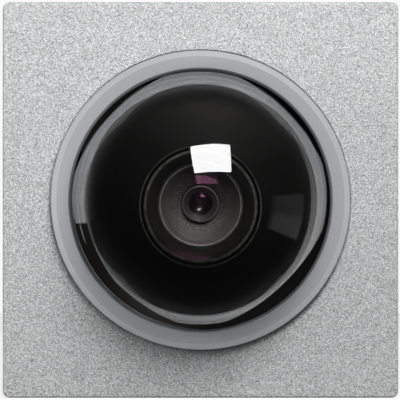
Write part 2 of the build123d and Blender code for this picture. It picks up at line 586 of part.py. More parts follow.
# ---------------------------------------------------------------------------
# sprung latches at the sides
# ---------------------------------------------------------------------------
for s, side in ((1, "right"), (-1, "left")):
    la = bx(s * 40.0, s * 43.9, 9.0, 12.6, -5.0, 5.0)
    la += bx(s * 43.8, s * LATCH_OUT, 9.3, 12.6, -4.0, 4.0)
    wedge = Pos(s * (LATCH_OUT + 0.1), 12.9, 0) * Rot(0, 0, s * 42) * Box(4.4, 2.0, 9)
    la -= wedge
    la -= cx(1.75, s * 39.5, s * 45.8, LATCH_YM, 0)
    NODES[f"latch_{side}"] = la
    length = 9.4
    hx = Helix(pitch=1.35, height=length, radius=1.3)
    prof = Plane(origin=hx @ 0, z_dir=hx % 0) * Circle(0.22)
    sp = sweep(prof, path=hx)
    sp = Pos(s * 36.0, LATCH_YM, 0) * Rot(0, s * 90, 0) * sp
    NODES[f"latch_spring_{side}"] = sp

for name, obj in NODES.items():
    save(obj, name)
print(len(NODES), "nodes")
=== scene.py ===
import json
import math
import bpy
import bmesh
from mathutils import Vector, Matrix


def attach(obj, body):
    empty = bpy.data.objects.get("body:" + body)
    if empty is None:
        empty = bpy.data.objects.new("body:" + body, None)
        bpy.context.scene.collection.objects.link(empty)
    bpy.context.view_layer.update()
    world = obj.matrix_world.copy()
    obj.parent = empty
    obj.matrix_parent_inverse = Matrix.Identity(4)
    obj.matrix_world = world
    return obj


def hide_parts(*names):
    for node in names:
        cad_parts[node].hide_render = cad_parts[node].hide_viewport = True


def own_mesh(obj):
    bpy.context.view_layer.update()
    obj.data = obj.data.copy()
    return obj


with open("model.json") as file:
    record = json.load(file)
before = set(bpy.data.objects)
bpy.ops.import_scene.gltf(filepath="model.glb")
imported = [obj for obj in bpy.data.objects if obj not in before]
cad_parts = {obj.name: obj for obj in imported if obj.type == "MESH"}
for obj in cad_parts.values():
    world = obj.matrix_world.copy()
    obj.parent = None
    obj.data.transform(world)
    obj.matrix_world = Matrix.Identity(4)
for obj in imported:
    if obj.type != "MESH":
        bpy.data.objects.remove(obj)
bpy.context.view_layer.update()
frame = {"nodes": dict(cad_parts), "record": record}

N = frame["nodes"]
MM = 0.001
YC = -5.5                      # centre of dome, ball and both pivots (mm)
TILT = math.radians(3.6)       # rest tilt of the camera head


# ---------------------------------------------------------------------------
# mesh helpers
# ---------------------------------------------------------------------------
def link(obj):
    bpy.context.scene.collection.objects.link(obj)
    return obj


def arc(radius, a0, a1, n, cr=0.0, cy=0.0):
    """Points (r, y) on a circle about (cr, cy); angles in degrees from +r towards +y."""
    out = []
    for i in range(n + 1):
        a = math.radians(a0 + (a1 - a0) * i / n)
        out.append((cr + radius * math.cos(a), cy + radius * math.sin(a)))
    return out


def spline_round(pts, radius, n=4):
    """Rounds the corners of an open list of (r, y) points; each corner may carry its own radius as a third item."""
    out = [pts[0][:2]]
    for i in range(1, len(pts) - 1):
        p0, p1, p2 = (Vector(p[:2]) for p in (pts[i - 1], pts[i], pts[i + 1]))
        rad = pts[i][2] if len(pts[i]) > 2 else radius
        a, b = (p0 - p1), (p2 - p1)
        la, lb = a.length, b.length
        if rad <= 0 or la < 1e-6 or lb < 1e-6:
            out.append(tuple(p1))
            continue
        a.normalize(); b.normalize()
        half = math.acos(max(-1, min(1, a.dot(b)))) / 2
        if half > math.radians(88):
            out.append(tuple(p1))
            continue
        d = min(rad / math.tan(half), la * 0.45, lb * 0.45)
        q0, q2 = p1 + a * d, p1 + b * d
        for k in range(n + 1):
            t = k / n
            q = q0 * (1 - t) ** 2 + p1 * 2 * t * (1 - t) + q2 * t ** 2
            out.append((q.x, q.y))
    out.append(pts[-1][:2])
    return out


def lathe(name, pts, seg=192, closed=True, core=False, tilt=0.0, sharp=34):
    """Body of revolution about Y.  pts are (r, y) in mm, or (r, s) ahead of the ball's centre when core is set."""
    if core:
        pts = [(r, YC - s) for r, s in pts]
    me = bpy.data.meshes.new(name)
    bm = bmesh.new()
    rings = []
    for r, y in pts:
        if r < 1e-6:
            rings.append([bm.verts.new((0, y * MM, 0))])
        else:
            rings.append([bm.verts.new((r * MM * math.cos(2 * math.pi * k / seg), y * MM, r * MM * math.sin(2 * math.pi * k / seg))) for k in range(seg)])
    pairs = list(zip(rings, rings[1:] + ([rings[0]] if closed else [])))
    if not closed:
        pairs = pairs[:len(rings) - 1]
    for a, b in pairs:
        if len(a) == 1 and len(b) == 1:
            continue
        for k in range(seg):
            k2 = (k + 1) % seg
            if len(a) == 1:
                bm.faces.new((a[0], b[k2], b[k]))
            elif len(b) == 1:
                bm.faces.new((a[k], a[k2], b[0]))
            else:
                bm.faces.new((a[k], a[k2], b[k2], b[k]))
    bmesh.ops.recalc_face_normals(bm, faces=bm.faces)
    if tilt:
        bmesh.ops.rotate(bm, verts=bm.verts, cent=(0, YC * MM, 0), matrix=Matrix.Rotation(tilt, 3, "X"))
    bm.to_mesh(me)
    bm.free()
    me.shade_smooth()
    me.set_sharp_from_angle(angle=math.radians(sharp))
    return link(bpy.data.objects.new(name, me))


def put(obj, body, mat, slot, *nodes):
    """Gives a piece its material and lets it ride on its body in place of CAD nodes; the slot argument is not used."""
    obj.data.materials.clear()
    obj.data.materials.append(mat)
    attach(obj, body)
    if nodes:
        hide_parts(*nodes)
    return obj


def boolean(obj, cutter, op="DIFFERENCE"):
    m = obj.modifiers.new("b", "BOOLEAN")
    m.operation = op
    m.object = cutter
    m.solver = "EXACT"
    deps = bpy.context.evaluated_depsgraph_get()
    deps.update()
    me = bpy.data.meshes.new_from_object(obj.evaluated_get(deps))
    obj.modifiers.clear()
    old = obj.data
    obj.data = me
    bpy.data.meshes.remove(old)
    bpy.data.objects.remove(cutter)
    return obj


# ---------------------------------------------------------------------------
# material helpers
# ---------------------------------------------------------------------------
class Mat:
    def __init__(self, name):
        self.m = bpy.data.materials.new(name)
        self.m.use_nodes = True
        self.t = self.m.node_tree
        self.t.nodes.clear()
        self.out = self.t.nodes.new("ShaderNodeOutputMaterial")
        self.b = self.t.nodes.new("ShaderNodeBsdfPrincipled")
        self.t.links.new(self.b.outputs[0], self.out.inputs["Surface"])
        self.tc = self.t.nodes.new("ShaderNodeTexCoord")

    def n(self, kind, **kw):
        x = self.t.nodes.new(kind)
        for k, v in kw.items():
            if k.startswith("in_"):
                x.inputs[k[3:].replace("_", " ")].default_value = v
            else:
                setattr(x, k, v)
        return x

    def l(self, a, b):
        self.t.links.new(a, b)

    def set(self, **kw):
        for k, v in kw.items():
            s = self.b.inputs[k.replace("_", " ")]
            s.default_value = v
        return self

    def obj(self):
        return self.tc.outputs["Object"]

    def radius(self):
        """Distance from the dome's axis, in metres."""
        v = self.n("ShaderNodeVectorMath", operation="MULTIPLY")
        self.l(self.obj(), v.inputs[0])
        v.inputs[1].default_value = (1, 0, 1)
        w = self.n("ShaderNodeVectorMath", operation="LENGTH")
        self.l(v.outputs[0], w.inputs[0])
        return w.outputs["Value"]

    def core(self):
        """(distance from the optical axis, distance ahead of the ball's centre), in metres, for pieces of the tilted head."""
        rot = self.n("ShaderNodeVectorRotate", rotation_type="X_AXIS")
        self.l(self.obj(), rot.inputs["Vector"])
        rot.inputs["Center"].default_value = (0, YC * MM, 0)
        rot.inputs["Angle"].default_value = -TILT
        sep = self.n("ShaderNodeSeparateXYZ")
        self.l(rot.outputs[0], sep.inputs[0])
        v = self.n("ShaderNodeCombineXYZ")
        self.l(sep.outputs["X"], v.inputs["X"])
        self.l(sep.outputs["Z"], v.inputs["Z"])
        w = self.n("ShaderNodeVectorMath", operation="LENGTH")
        self.l(v.outputs[0], w.inputs[0])
        return w.outputs["Value"], self.math("SUBTRACT", YC * MM, sep.outputs["Y"])

    def noise(self, scale, detail=2.0, rough=0.5, vec=None):
        x = self.n("ShaderNodeTexNoise", in_Scale=scale, in_Detail=detail, in_Roughness=rough)
        self.l(vec or self.obj(), x.inputs["Vector"])
        return x.outputs["Fac"]

    def voronoi(self, scale, feature="F1", out="Distance", vec=None):
        x = self.n("ShaderNodeTexVoronoi", feature=feature)
        x.inputs["Scale"].default_value = scale
        self.l(vec or self.obj(), x.inputs["Vector"])
        return x.outputs[out]

    def ramp(self, fac, stops):
        x = self.n("ShaderNodeValToRGB")
        e = x.color_ramp.elements
        while len(e) < len(stops):
            e.new(0.5)
        for el, (p, c) in zip(e, stops):
            el.position = p
            el.color = (*c, 1) if len(c) == 3 else c
        self.l(fac, x.inputs["Fac"])
        return x.outputs["Color"]

    def maprange(self, fac, a, b, c, d):
        x = self.n("ShaderNodeMapRange")
        for i, v in zip((1, 2, 3, 4), (a, b, c, d)):
            x.inputs[i].default_value = v
        self.l(fac, x.inputs[0])
        return x.outputs[0]

    def math(self, op, a, b=None, clamp=False):
        x = self.n("ShaderNodeMath", operation=op, use_clamp=clamp)
        for i, v in enumerate((a, b)):
            if v is None:
                continue
            if isinstance(v, (int, float)):
                x.inputs[i].default_value = v
            else:
                self.l(v, x.inputs[i])
        return x.outputs[0]

    def mix(self, fac, a, b, mode="MIX"):
        x = self.n("ShaderNodeMix", data_type="RGBA", blend_type=mode)
        for s, v in ((x.inputs["Factor"], fac), (x.inputs[6], a), (x.inputs[7], b)):
            if isinstance(v, (int, float)):
                s.default_value = v
            elif isinstance(v, (tuple, list)):
                s.default_value = (*v, 1) if len(v) == 3 else v
            else:
                self.l(v, s)
        return x.outputs[2]

    def bump(self, height, strength=0.2, distance=0.0001, normal=None):
        x = self.n("ShaderNodeBump", in_Strength=strength, in_Distance=distance)
        self.l(height, x.inputs["Height"])
        if normal is not None:
            self.l(normal, x.inputs["Normal"])
        return x.outputs["Normal"]

    def to(self, socket, value):
        s = self.b.inputs[socket]
        self.l(value, s)
        return self


def silver_lacquer():
    m = Mat("silver_lacquer")
    m.set(Metallic=0.30, Roughness=0.5)
    fine = m.voronoi(9500, out="Color")
    bw = m.n("ShaderNodeSeparateColor")
    m.l(fine, bw.inputs[0])
    coarse = m.voronoi(7000, out="Color")
    bw2 = m.n("ShaderNodeSeparateColor")
    m.l(coarse, bw2.inputs[0])
    cloud = m.noise(260, 3, 0.6)
    v = m.math("ADD", m.math("MULTIPLY", bw.outputs[0], 0.62), m.math("MULTIPLY", bw2.outputs[1], 0.34))
    v = m.math("ADD", v, m.math("MULTIPLY", cloud, 0.04))
    col = m.ramp(v, [(0.18, (0.03, 0.031, 0.032)), (0.43, (0.41, 0.422, 0.43)), (0.58, (0.68, 0.695, 0.705)), (0.80, (1.0, 1.0, 1.0))])
    m.to("Base Color", col)
    m.to("Roughness", m.maprange(bw2.outputs[2], 0, 1, 0.52, 0.66))
    m.to("Normal", m.bump(bw.outputs[1], 0.35, 0.00006))
    return m.m


def collar_grey():
    m = Mat("collar_grey")
    m.set(Roughness=0.42, Metallic=0.0)
    fine = m.noise(5200, 2, 0.55)
    cloud = m.noise(160, 3, 0.5)
    c = m.ramp(fine, [(0.25, (0.162, 0.166, 0.175)), (0.75, (0.193, 0.198, 0.208))])
    c = m.mix(m.maprange(cloud, 0.3, 0.7, 0.0, 0.10), c, (0.228, 0.233, 0.242))
    # the bevel, beyond 36 mm from the axis, is coloured 1.28 times lighter than the face
    c = m.mix(m.math("GREATER_THAN", m.radius(), 0.0360), c, (1.28, 1.28, 1.28), "MULTIPLY")
    m.to("Base Color", c)
    m.to("Roughness", m.maprange(cloud, 0.3, 0.7, 0.50, 0.60))
    m.to("Normal", m.bump(fine, 0.12, 0.00004))
    return m.m


def clear_dome():
    """Clear polycarbonate.  The inner face has an anti-fog coat, which reflects little until light meets it at a flat angle."""
    m = Mat("clear_dome")
    m.set(Base_Color=(1.0, 1.0, 1.0, 1), Roughness=0.0, IOR=1.585, Transmission_Weight=1.0)
    smear = m.noise(46, 4, 0.6)
    tint = m.ramp(smear, [(0.3, (1.0, 1.0, 1.0)), (0.8, (0.985, 0.987, 0.99))])
    # distance from the dome's centre tells the two faces apart
    v = m.n("ShaderNodeVectorMath", operation="SUBTRACT")
    m.l(m.obj(), v.inputs[0])
    v.inputs[1].default_value = (0, YC * MM, 0)
    w = m.n("ShaderNodeVectorMath", operation="LENGTH")
    m.l(v.outputs[0], w.inputs[0])
    inner = m.math("LESS_THAN", w.outputs["Value"], 0.0300)
    fr = m.n("ShaderNodeFresnel", in_IOR=1.585)
    low = m.math("POWER", fr.outputs[0], 2.6, True)
    fac = m.n("ShaderNodeMix", data_type="FLOAT")
    m.l(inner, fac.inputs[0])
    m.l(fr.outputs[0], fac.inputs[2])
    m.l(low, fac.inputs[3])
    refr = m.n("ShaderNodeBsdfRefraction")
    refr.inputs["IOR"].default_value = 1.585
    refr.inputs["Roughness"].default_value = 0.0
    m.l(tint, refr.inputs["Color"])
    gl = m.n("ShaderNodeBsdfGlossy")
    gl.inputs["Roughness"].default_value = 0.0
    m.l(m.mix(inner, (1.0, 1.0, 1.0), (0.40, 0.405, 0.415)), gl.inputs["Color"])
    # the foot of the dome is darkened with painted shade: a black lacquer behind it and a cut of its flat-angle
    # reflection, both deeper towards the four corners of the panel
    sep = m.n("ShaderNodeSeparateXYZ")
    m.l(m.obj(), sep.inputs[0])

    def beyond(cx, cz, power, limit, tall=1.0):
        px = m.math("POWER", m.math("ABSOLUTE", m.math("SUBTRACT", sep.outputs["X"], cx)), power)
        pz = m.math("POWER", m.math("MULTIPLY", m.math("ABSOLUTE", m.math("SUBTRACT", sep.outputs["Z"], cz)), 1 / tall), power)
        return m.math("GREATER_THAN", m.math("ADD", px, pz), limit ** power)

    outer = m.math("GREATER_THAN", w.outputs["Value"], 0.0310)
    # both run deeper at the lower left, up to a level edge, with one thin bare line in the painted shade
    left = m.math("LESS_THAN", sep.outputs["X"], 0.0)
    line = m.math("MULTIPLY", beyond(-0.0002, -0.0001, 2.0, 0.03015), m.math("SUBTRACT", 1.0, beyond(-0.0002, -0.0001, 2.0, 0.03050)))
    line = m.math("MULTIPLY", line, m.math("GREATER_THAN", sep.outputs["Z"], -0.0152))
    cut = m.math("MULTIPLY", m.math("MULTIPLY", left, m.math("LESS_THAN", sep.outputs["Z"], -0.0059)), beyond(0.0075, 0.0027, 2.0, 0.0367))
    cut = m.math("MULTIPLY", cut, m.math("SUBTRACT", 1.0, line))
    cut_in = m.math("MULTIPLY", m.math("MULTIPLY", left, m.math("LESS_THAN", sep.outputs["Z"], -0.0052)), beyond(0.0075, 0.0027, 2.0, 0.0348))
    # its outermost line stays bare at the lower left
    lip = beyond(0.00077, 0.00058, 2.0, 0.03285)
    deep = m.math("MAXIMUM", cut, m.math("MAXIMUM", beyond(0.0, 0.00093, 1.6, 0.03266), beyond(-0.0003, 0.00075, 2.0, 0.0317)))
    # painted shade: at flat angles the reflection is cut here, so the foot reads dark
    glare_cut_painted_shade = m.math("MULTIPLY", m.math("MULTIPLY", outer, deep), m.math("SUBTRACT", 1.0, lip))
    flat = m.n("ShaderNodeLayerWeight")
    flat.inputs["Blend"].default_value = 0.5
    glancing = m.maprange(flat.outputs["Facing"], 0.38, 0.50, 0.0, 1.0)
    quiet = m.math("MULTIPLY", glare_cut_painted_shade, glancing)
    body = m.n("ShaderNodeMixShader")
    m.l(m.math("MULTIPLY", fac.outputs[0], m.math("SUBTRACT", 1.0, quiet)), body.inputs[0])
    m.l(refr.outputs[0], body.inputs[1])
    m.l(gl.outputs[0], body.inputs[2])
    # just above the painted shade the moulding has a faint frosted sheen
    haze = m.n("ShaderNodeBsdfDiffuse")
    haze.inputs["Color"].default_value = (0.70, 0.70, 0.71, 1)
    frost = m.n("ShaderNodeMixShader")
    veil = m.math("MULTIPLY", m.math("MULTIPLY", outer, beyond(-0.0003, 0.0002, 2.0, 0.02775, 1.04)), m.math("SUBTRACT", 1.0, glare_cut_painted_shade))
    m.l(m.math("MULTIPLY", m.math("MULTIPLY", veil, glancing), 0.12), frost.inputs[0])
    m.l(body.outputs[0], frost.inputs[1])
    m.l(haze.outputs[0], frost.inputs[2])
    c = m.ramp(m.noise(1400, 3, 0.6), [(0.3, (0.0045, 0.0043, 0.0041)), (0.7, (0.0075, 0.0072, 0.0070))])
    # painted light: the lacquer is coloured lighter away from the lower right, where the rim lamp leaves it unlit
    lacquer_painted_light = m.maprange(m.math("SUBTRACT", sep.outputs["X"], sep.outputs["Z"]), 0.012, 0.030, 1.0, 0.0)
    m.to("Base Color", m.mix(lacquer_painted_light, c, (0.038, 0.036, 0.034)))
    m.set(Transmission_Weight=0.0, Roughness=0.5, Specular_IOR_Level=0.0, IOR=1.45)
    # painted shade: a black lacquer on the inner face of the foot
    painted_shade_lacquer = m.math("MULTIPLY", inner, m.math("MAXIMUM", cut_in, m.math("MAXIMUM", beyond(0.0, 0.0009, 1.6, 0.0304), beyond(-0.0003, 0.0007, 2.0, 0.0287))))
    body = m.n("ShaderNodeMixShader")
    m.l(painted_shade_lacquer, body.inputs[0])
    m.l(frost.outputs[0], body.inputs[1])
    m.l(m.b.outputs[0], body.inputs[2])
    lp = m.n("ShaderNodeLightPath")
    tr = m.n("ShaderNodeBsdfTransparent")
    # the dome's edge bends light away, so it casts a shadow where it is seen edge-on
    lw = m.n("ShaderNodeLayerWeight")
    lw.inputs["Blend"].default_value = 0.5
    m.l(m.ramp(lw.outputs["Facing"], [(0.40, (0.95, 0.95, 0.95)), (0.56, (0.12, 0.12, 0.12))]), tr.inputs["Color"])
    mx = m.n("ShaderNodeMixShader")
    m.l(lp.outputs["Is Shadow Ray"], mx.inputs[0])
    m.l(body.outputs[0], mx.inputs[1])
    m.l(tr.outputs[0], mx.inputs[2])
    m.l(mx.outputs[0], m.out.inputs["Surface"])
    return m.m


def satin_black(name="satin_black", base=0.0055, rough=(0.30, 0.40), grain=2600, bump=0.10, spec=0.5):
    m = Mat(name)
    g = m.noise(grain, 3, 0.6)
    cloud = m.noise(90, 3, 0.5)
    m.to("Base Color", m.ramp(g, [(0.3, (base, base * 0.95, base * 0.92)), (0.75, (base * 1.5, base * 1.45, base * 1.4))]))
    m.to("Roughness", m.maprange(cloud, 0.3, 0.7, rough[0], rough[1]))
    m.to("Normal", m.bump(g, bump, 0.00003))
    m.set(Specular_IOR_Level=spec)
    return m.m


def ball_black():
    """Satin black moulding; the edge of its opening is coloured light grey as a painted highlight."""
    m = Mat("ball_black")
    g = m.noise(2600, 3, 0.6)
    cloud = m.noise(90, 3, 0.5)
    r, ahead = m.core()
    # painted highlight: the lip of the opening is coloured light grey to give a bright ring all round
    lip = m.math("MULTIPLY", m.math("LESS_THAN", r, 0.01452), m.math("GREATER_THAN", ahead, 0.0243))
    c = m.ramp(g, [(0.3, (0.0034, 0.0032, 0.0031)), (0.75, (0.0052, 0.0050, 0.0048))])
    m.to("Base Color", m.mix(lip, c, m.ramp(m.noise(700, 3, 0.6), [(0.35, (0.045, 0.044, 0.042)), (0.65, (0.11, 0.108, 0.104))])))
    m.to("Roughness", m.maprange(cloud, 0.3, 0.7, 0.42, 0.52))
    m.to("Normal", m.bump(g, 0.10, 0.00003))
    m.set(Specular_IOR_Level=0.04)
    return m.m


def gloss_black():
    m = Mat("gloss_black")
    cloud = m.noise(300, 3, 0.5)
    r, ahead = m.core()
    # painted highlight: the front rim of the bezel is coloured light grey to give a thin bright ring
    rim = m.math("GREATER_THAN", ahead, 0.0242)
    c = m.ramp(cloud, [(0.3, (0.006, 0.0055, 0.005)), (0.7, (0.010, 0.009, 0.008))])
    m.to("Base Color", m.mix(rim, c, m.ramp(m.noise(800, 3, 0.6), [(0.35, (0.030, 0.029, 0.028)), (0.65, (0.085, 0.083, 0.08))])))
    m.to("Roughness", m.maprange(cloud, 0.3, 0.7, 0.16, 0.24))
    m.to("Normal", m.bump(m.noise(1800, 2, 0.5), 0.05, 0.00003))
    return m.m


def simple(name, dark, light, rough=(0.35, 0.5), scale=1500, bump=0.1, metallic=0.0, dist=0.00004, detail=3):
    m = Mat(name)
    g = m.noise(scale, detail, 0.6)
    cloud = m.noise(scale / 14, 3, 0.5)
    c = m.ramp(g, [(0.28, dark), (0.72, light)])
    c = m.mix(m.maprange(cloud, 0.35, 0.7, 0.0, 0.35), c, tuple(0.5 * (a + b) for a, b in zip(dark, light)))
    m.to("Base Color", c)
    m.to("Roughness", m.maprange(cloud, 0.3, 0.7, *rough))
    if bump:
        m.to("Normal", m.bump(g, bump, dist))
    m.set(Metallic=metallic)
    return m.m


def coated_glass(name, tint, strength=0.7, ior=1.7, quiet=None, inner=False):
    """Lens glass whose coating gives a coloured reflection; faces above quiet[0] and inside the sphere (quiet[1], quiet[2]) reflect little."""
    m = Mat(name)
    m.set(Roughness=0.01, IOR=ior, Transmission_Weight=1.0, Base_Color=(0.98, 0.97, 0.99, 1))
    lw = m.n("ShaderNodeFresnel", in_IOR=ior)
    sm = m.noise(500, 2, 0.5)
    gl = m.n("ShaderNodeBsdfGlossy")
    gl.inputs["Roughness"].default_value = 0.09 if inner else 0.008
    c = m.mix(m.maprange(sm, 0.3, 0.7, 0.0, 0.15), tint, tuple(min(1, 0.6 * c + 0.3) for c in tint))
    if inner:
        r, ahead = m.core()
        front = m.math("GREATER_THAN", ahead, 0.0130)
        back = m.math("MULTIPLY", m.math("GREATER_THAN", ahead, 0.0110), m.math("LESS_THAN", ahead, 0.0130))
        c = m.mix(front, m.mix(back, c, (0.96, 0.94, 0.95)), (0.19, 0.065, 0.16))
    m.l(c, gl.inputs["Color"])
    lp = m.n("ShaderNodeLightPath")
    tr = m.n("ShaderNodeBsdfTransparent")
    fr = m.math("MULTIPLY", lw.outputs[0], strength, True)
    if quiet:
        r, ahead = m.core()
        low, centre, radius = quiet
        d = m.math("SUBTRACT", ahead, centre)
        dist = m.math("SQRT", m.math("ADD", m.math("MULTIPLY", r, r), m.math("MULTIPLY", d, d)))
        inside = m.math("MULTIPLY", m.math("GREATER_THAN", ahead, low), m.math("LESS_THAN", dist, radius))
        fr = m.math("MULTIPLY", fr, m.maprange(inside, 0, 1, 1.0, 0.10))
        # towards the upper right, beyond an elliptic edge, the reflection is cut to a tenth
        sep = m.n("ShaderNodeSeparateXYZ")
        m.l(m.obj(), sep.inputs[0])
        ex = m.math("DIVIDE", m.math("MAXIMUM", m.math("SUBTRACT", sep.outputs["X"], -0.0002), 0.0), 0.0045)
        ez = m.math("DIVIDE", m.math("MAXIMUM", m.math("SUBTRACT", sep.outputs["Z"], 0.0037), 0.0), 0.00228)
        far = m.math("GREATER_THAN", m.math("ADD", m.math("MULTIPLY", ex, ex), m.math("MULTIPLY", ez, ez)), 1.0)
        far = m.math("MULTIPLY", far, m.math("GREATER_THAN", ez, 0.0))
        fr = m.math("MULTIPLY", fr, m.maprange(far, 0, 1, 1.0, 0.10))
    mx = m.n("ShaderNodeMixShader")
    m.l(fr, mx.inputs[0])
    tr2 = m.n("ShaderNodeBsdfRefraction")
    tr2.inputs["IOR"].default_value = ior
    tr2.inputs["Roughness"].default_value = 0.0
    m.l(tr2.outputs[0], mx.inputs[1])
    m.l(gl.outputs[0], mx.inputs[2])
    m2 = m.n("ShaderNodeMixShader")
    m.l(lp.outputs["Is Shadow Ray"], m2.inputs[0])
    m.l(mx.outputs[0], m2.inputs[1])
    m.l(tr.outputs[0], m2.inputs[2])
    m.l(m2.outputs[0], m.out.inputs["Surface"])
    return m.m


def baffle_black():
    """Matt cone with a coarse flocked grain near the barrel and a smoother outer zone."""
    m = Mat("baffle_black")
    r, ahead = m.core()
    speck = m.voronoi(5200, out="Color")
    sv = m.n("ShaderNodeSeparateColor")
    m.l(speck, sv.inputs[0])
    inner = m.maprange(r, 0.0068, 0.0076, 1.0, 0.0)
    grain = m.ramp(sv.outputs[0], [(0.10, (0.007, 0.0066, 0.006)), (0.55, (0.036, 0.034, 0.032)), (0.95, (0.17, 0.163, 0.157))])
    plain = m.ramp(m.noise(2600, 3, 0.6), [(0.3, (0.034, 0.0325, 0.031)), (0.7, (0.048, 0.046, 0.044))])
    m.to("Base Color", m.mix(inner, plain, grain))
    m.to("Roughness", m.maprange(sv.outputs[1], 0, 1, 0.44, 0.58))
    m.to("Normal", m.bump(sv.outputs[2], 0.25, 0.00006))
    m.set(Specular_IOR_Level=0.85)
    return m.m


def anodised_black():
    """Black anodised rings; the retainer's inner edge and the barrel's front edge are coloured light grey as painted
    highlights.
    """
    m = Mat("barrel_black")
    r, ahead = m.core()
    g = m.noise(3000, 3, 0.6)
    c = m.ramp(g, [(0.28, (0.022, 0.021, 0.020)), (0.72, (0.040, 0.038, 0.037))])
    bright = m.ramp(m.noise(900, 3, 0.6), [(0.35, (0.13, 0.128, 0.122)), (0.65, (0.24, 0.235, 0.225))])
    # painted highlights: light grey rings at the retainer's inner edge and the barrel's front edge
    inner_edge = m.math("MULTIPLY", m.math("LESS_THAN", r, 0.00988), m.math("GREATER_THAN", ahead, 0.0193))
    barrel_edge = m.math("MULTIPLY", m.math("GREATER_THAN", r, 0.00436), m.math("MULTIPLY", m.math("GREATER_THAN", ahead, 0.0147), m.math("LESS_THAN", ahead, 0.0155)))
    m.to("Base Color", m.mix(m.math("MAXIMUM", inner_edge, barrel_edge), c, bright))
    m.to("Roughness", m.maprange(m.noise(210, 3, 0.5), 0.3, 0.7, 0.30, 0.42))
    m.to("Normal", m.bump(g, 0.1, 0.00004))
    m.set(Metallic=0.3)
    return m.m


M = {
    "panel_silver": silver_lacquer(),
    "collar_grey": collar_grey(),
    "dome_clear": clear_dome(),
    "ball_black": ball_black(),
    "bezel_black": gloss_black(),
    "baffle_black": baffle_black(),
    "barrel_black": anodised_black(),
    "lens_coated": coated_glass("front_coating", (0.78, 0.27, 0.50), 1.25, 1.6, (0.0148, 0.0023, 0.0192)),
    "lens_inner": coated_glass("inner_coating", (0.80, 0.30, 0.40), 0.42, 1.6, inner=True),
    "housing_black": simple("housing_black", (0.045, 0.046, 0.048), (0.075, 0.076, 0.079), (0.48, 0.62), 3200, 0.45, dist=0.00005),
    "seal_rubber": simple("seal_rubber", (0.010, 0.010, 0.010), (0.022, 0.022, 0.022), (0.6, 0.8), 1800, 0.25),
    "screw_steel": simple("screw_steel", (0.42, 0.42, 0.43), (0.62, 0.62, 0.63), (0.25, 0.42), 2600, 0.15, metallic=1.0),
    "pin_steel": simple("pin_steel", (0.50, 0.50, 0.51), (0.66, 0.66, 0.67), (0.18, 0.30), 2600, 0.1, metallic=1.0),
    "contact_brass": simple("contact_brass", (0.60, 0.42, 0.14), (0.83, 0.62, 0.25), (0.22, 0.35), 2600, 0.1, metallic=1.0),
    "terminal_grey": simple("terminal_grey", (0.20, 0.21, 0.215), (0.26, 0.27, 0.275), (0.42, 0.55), 2600, 0.2),
    "header_black": simple("header_black", (0.012, 0.012, 0.012), (0.028, 0.028, 0.028), (0.40, 0.52), 2600, 0.25),
    "ribbon_film": simple("ribbon_film", (0.50, 0.46, 0.36), (0.64, 0.60, 0.50), (0.25, 0.35), 1500, 0.1),
    "sensor_ceramic": simple("sensor_ceramic", (0.03, 0.03, 0.034), (0.06, 0.06, 0.068), (0.3, 0.45), 2400, 0.1),
    "coil_copper": simple("coil_copper", (0.30, 0.11, 0.04), (0.52, 0.22, 0.09), (0.25, 0.4), 2400, 0.3, metallic=0.9),
    "bracket_alloy": simple("bracket_alloy", (0.36, 0.365, 0.37), (0.52, 0.525, 0.53), (0.38, 0.52), 2000, 0.3, metallic=1.0),
    "ring_acetal": simple("ring_acetal", (0.010, 0.010, 0.011), (0.022, 0.022, 0.024), (0.35, 0.45), 2000, 0.1),
    "washer_white": simple("washer_white", (0.60, 0.59, 0.55), (0.74, 0.73, 0.69), (0.4, 0.5), 2000, 0.1),
    "spring_steel": simple("spring_steel", (0.42, 0.42, 0.43), (0.60, 0.60, 0.60), (0.15, 0.28), 3000, 0.1, metallic=1.0),
    "latch_grey": simple("latch_grey", (0.09, 0.092, 0.096), (0.13, 0.133, 0.137), (0.35, 0.48), 2200, 0.15),
    "vent_membrane": simple("vent_membrane", (0.018, 0.018, 0.018), (0.035, 0.035, 0.035), (0.5, 0.65), 4000, 0.5),
    "can_aluminium": simple("can_aluminium", (0.55, 0.56, 0.57), (0.74, 0.75, 0.76), (0.22, 0.36), 1500, 0.1, metallic=1.0),
    "chip_black": simple("chip_black", (0.012, 0.012, 0.013), (0.026, 0.026, 0.028), (0.42, 0.55), 3600, 0.35),
    "pcb_green": simple("pcb_green", (0.006, 0.060, 0.024), (0.014, 0.100, 0.044), (0.22, 0.34), 700, 0.15),
    "filter_pink": coated_glass("filter_pink", (0.85, 0.30, 0.35), 1.5, 1.52),
    "clear_glass": coated_glass("clear_glass", (0.75, 0.85, 0.80), 1.0, 1.52),
}

# ---------------------------------------------------------------------------
# CAD nodes: material by slot
# ---------------------------------------------------------------------------
slot_of = {}
for s in frame["record"]["subparts"]:
    slot_of[s["node"]] = s["material_slot"]
for name, ob in N.items():
    ob.data.materials.clear()
    ob.data.materials.append(M[slot_of[name]])
    ob.data.shade_smooth()
    ob.data.set_sharp_from_angle(angle=math.radians(28))

# ---------------------------------------------------------------------------
# dome
# ---------------------------------------------------------------------------
RO, RI_D = 32.3, 29.2
pts = arc(RO, -90, 0, 72, 0, YC)
pts += [(RO, 2.3), (34.2, 2.3), (34.2, 4.1), (RI_D, 4.1)]
pts += arc(RI_D, 0, -90, 64, 0, YC)
pts[0] = (0, YC - RO)
pts[-1] = (0, YC - RI_D)
dome = lathe("clear_dome", pts, seg=256, closed=False, sharp=40)
put(dome, "root", M["dome_clear"], "dome_clear", "dome_cover")

# ---------------------------------------------------------------------------
# trim ring
# ---------------------------------------------------------------------------
profile = [
    (32.65, 2.3, 0), (32.65, -4.7, 0.03), (32.43, -4.95, 0.04), (32.43, -5.35, 0.08), (33.05, -6.3, 0.07), (36.0, -6.0, 0.04), (37.45, -5.45, 0.22), (37.45, -2.2, 0), (35.0, -2.2, 0), (35.0, 2.3, 0),
]
collar = lathe("trim_collar", [(32.65, 2.3)] + spline_round(profile, 0.2, 5)[1:-1] + [(35.0, 2.3)], seg=256, closed=True, sharp=30)
put(collar, "root", M["collar_grey"], "collar_grey", "trim_ring")

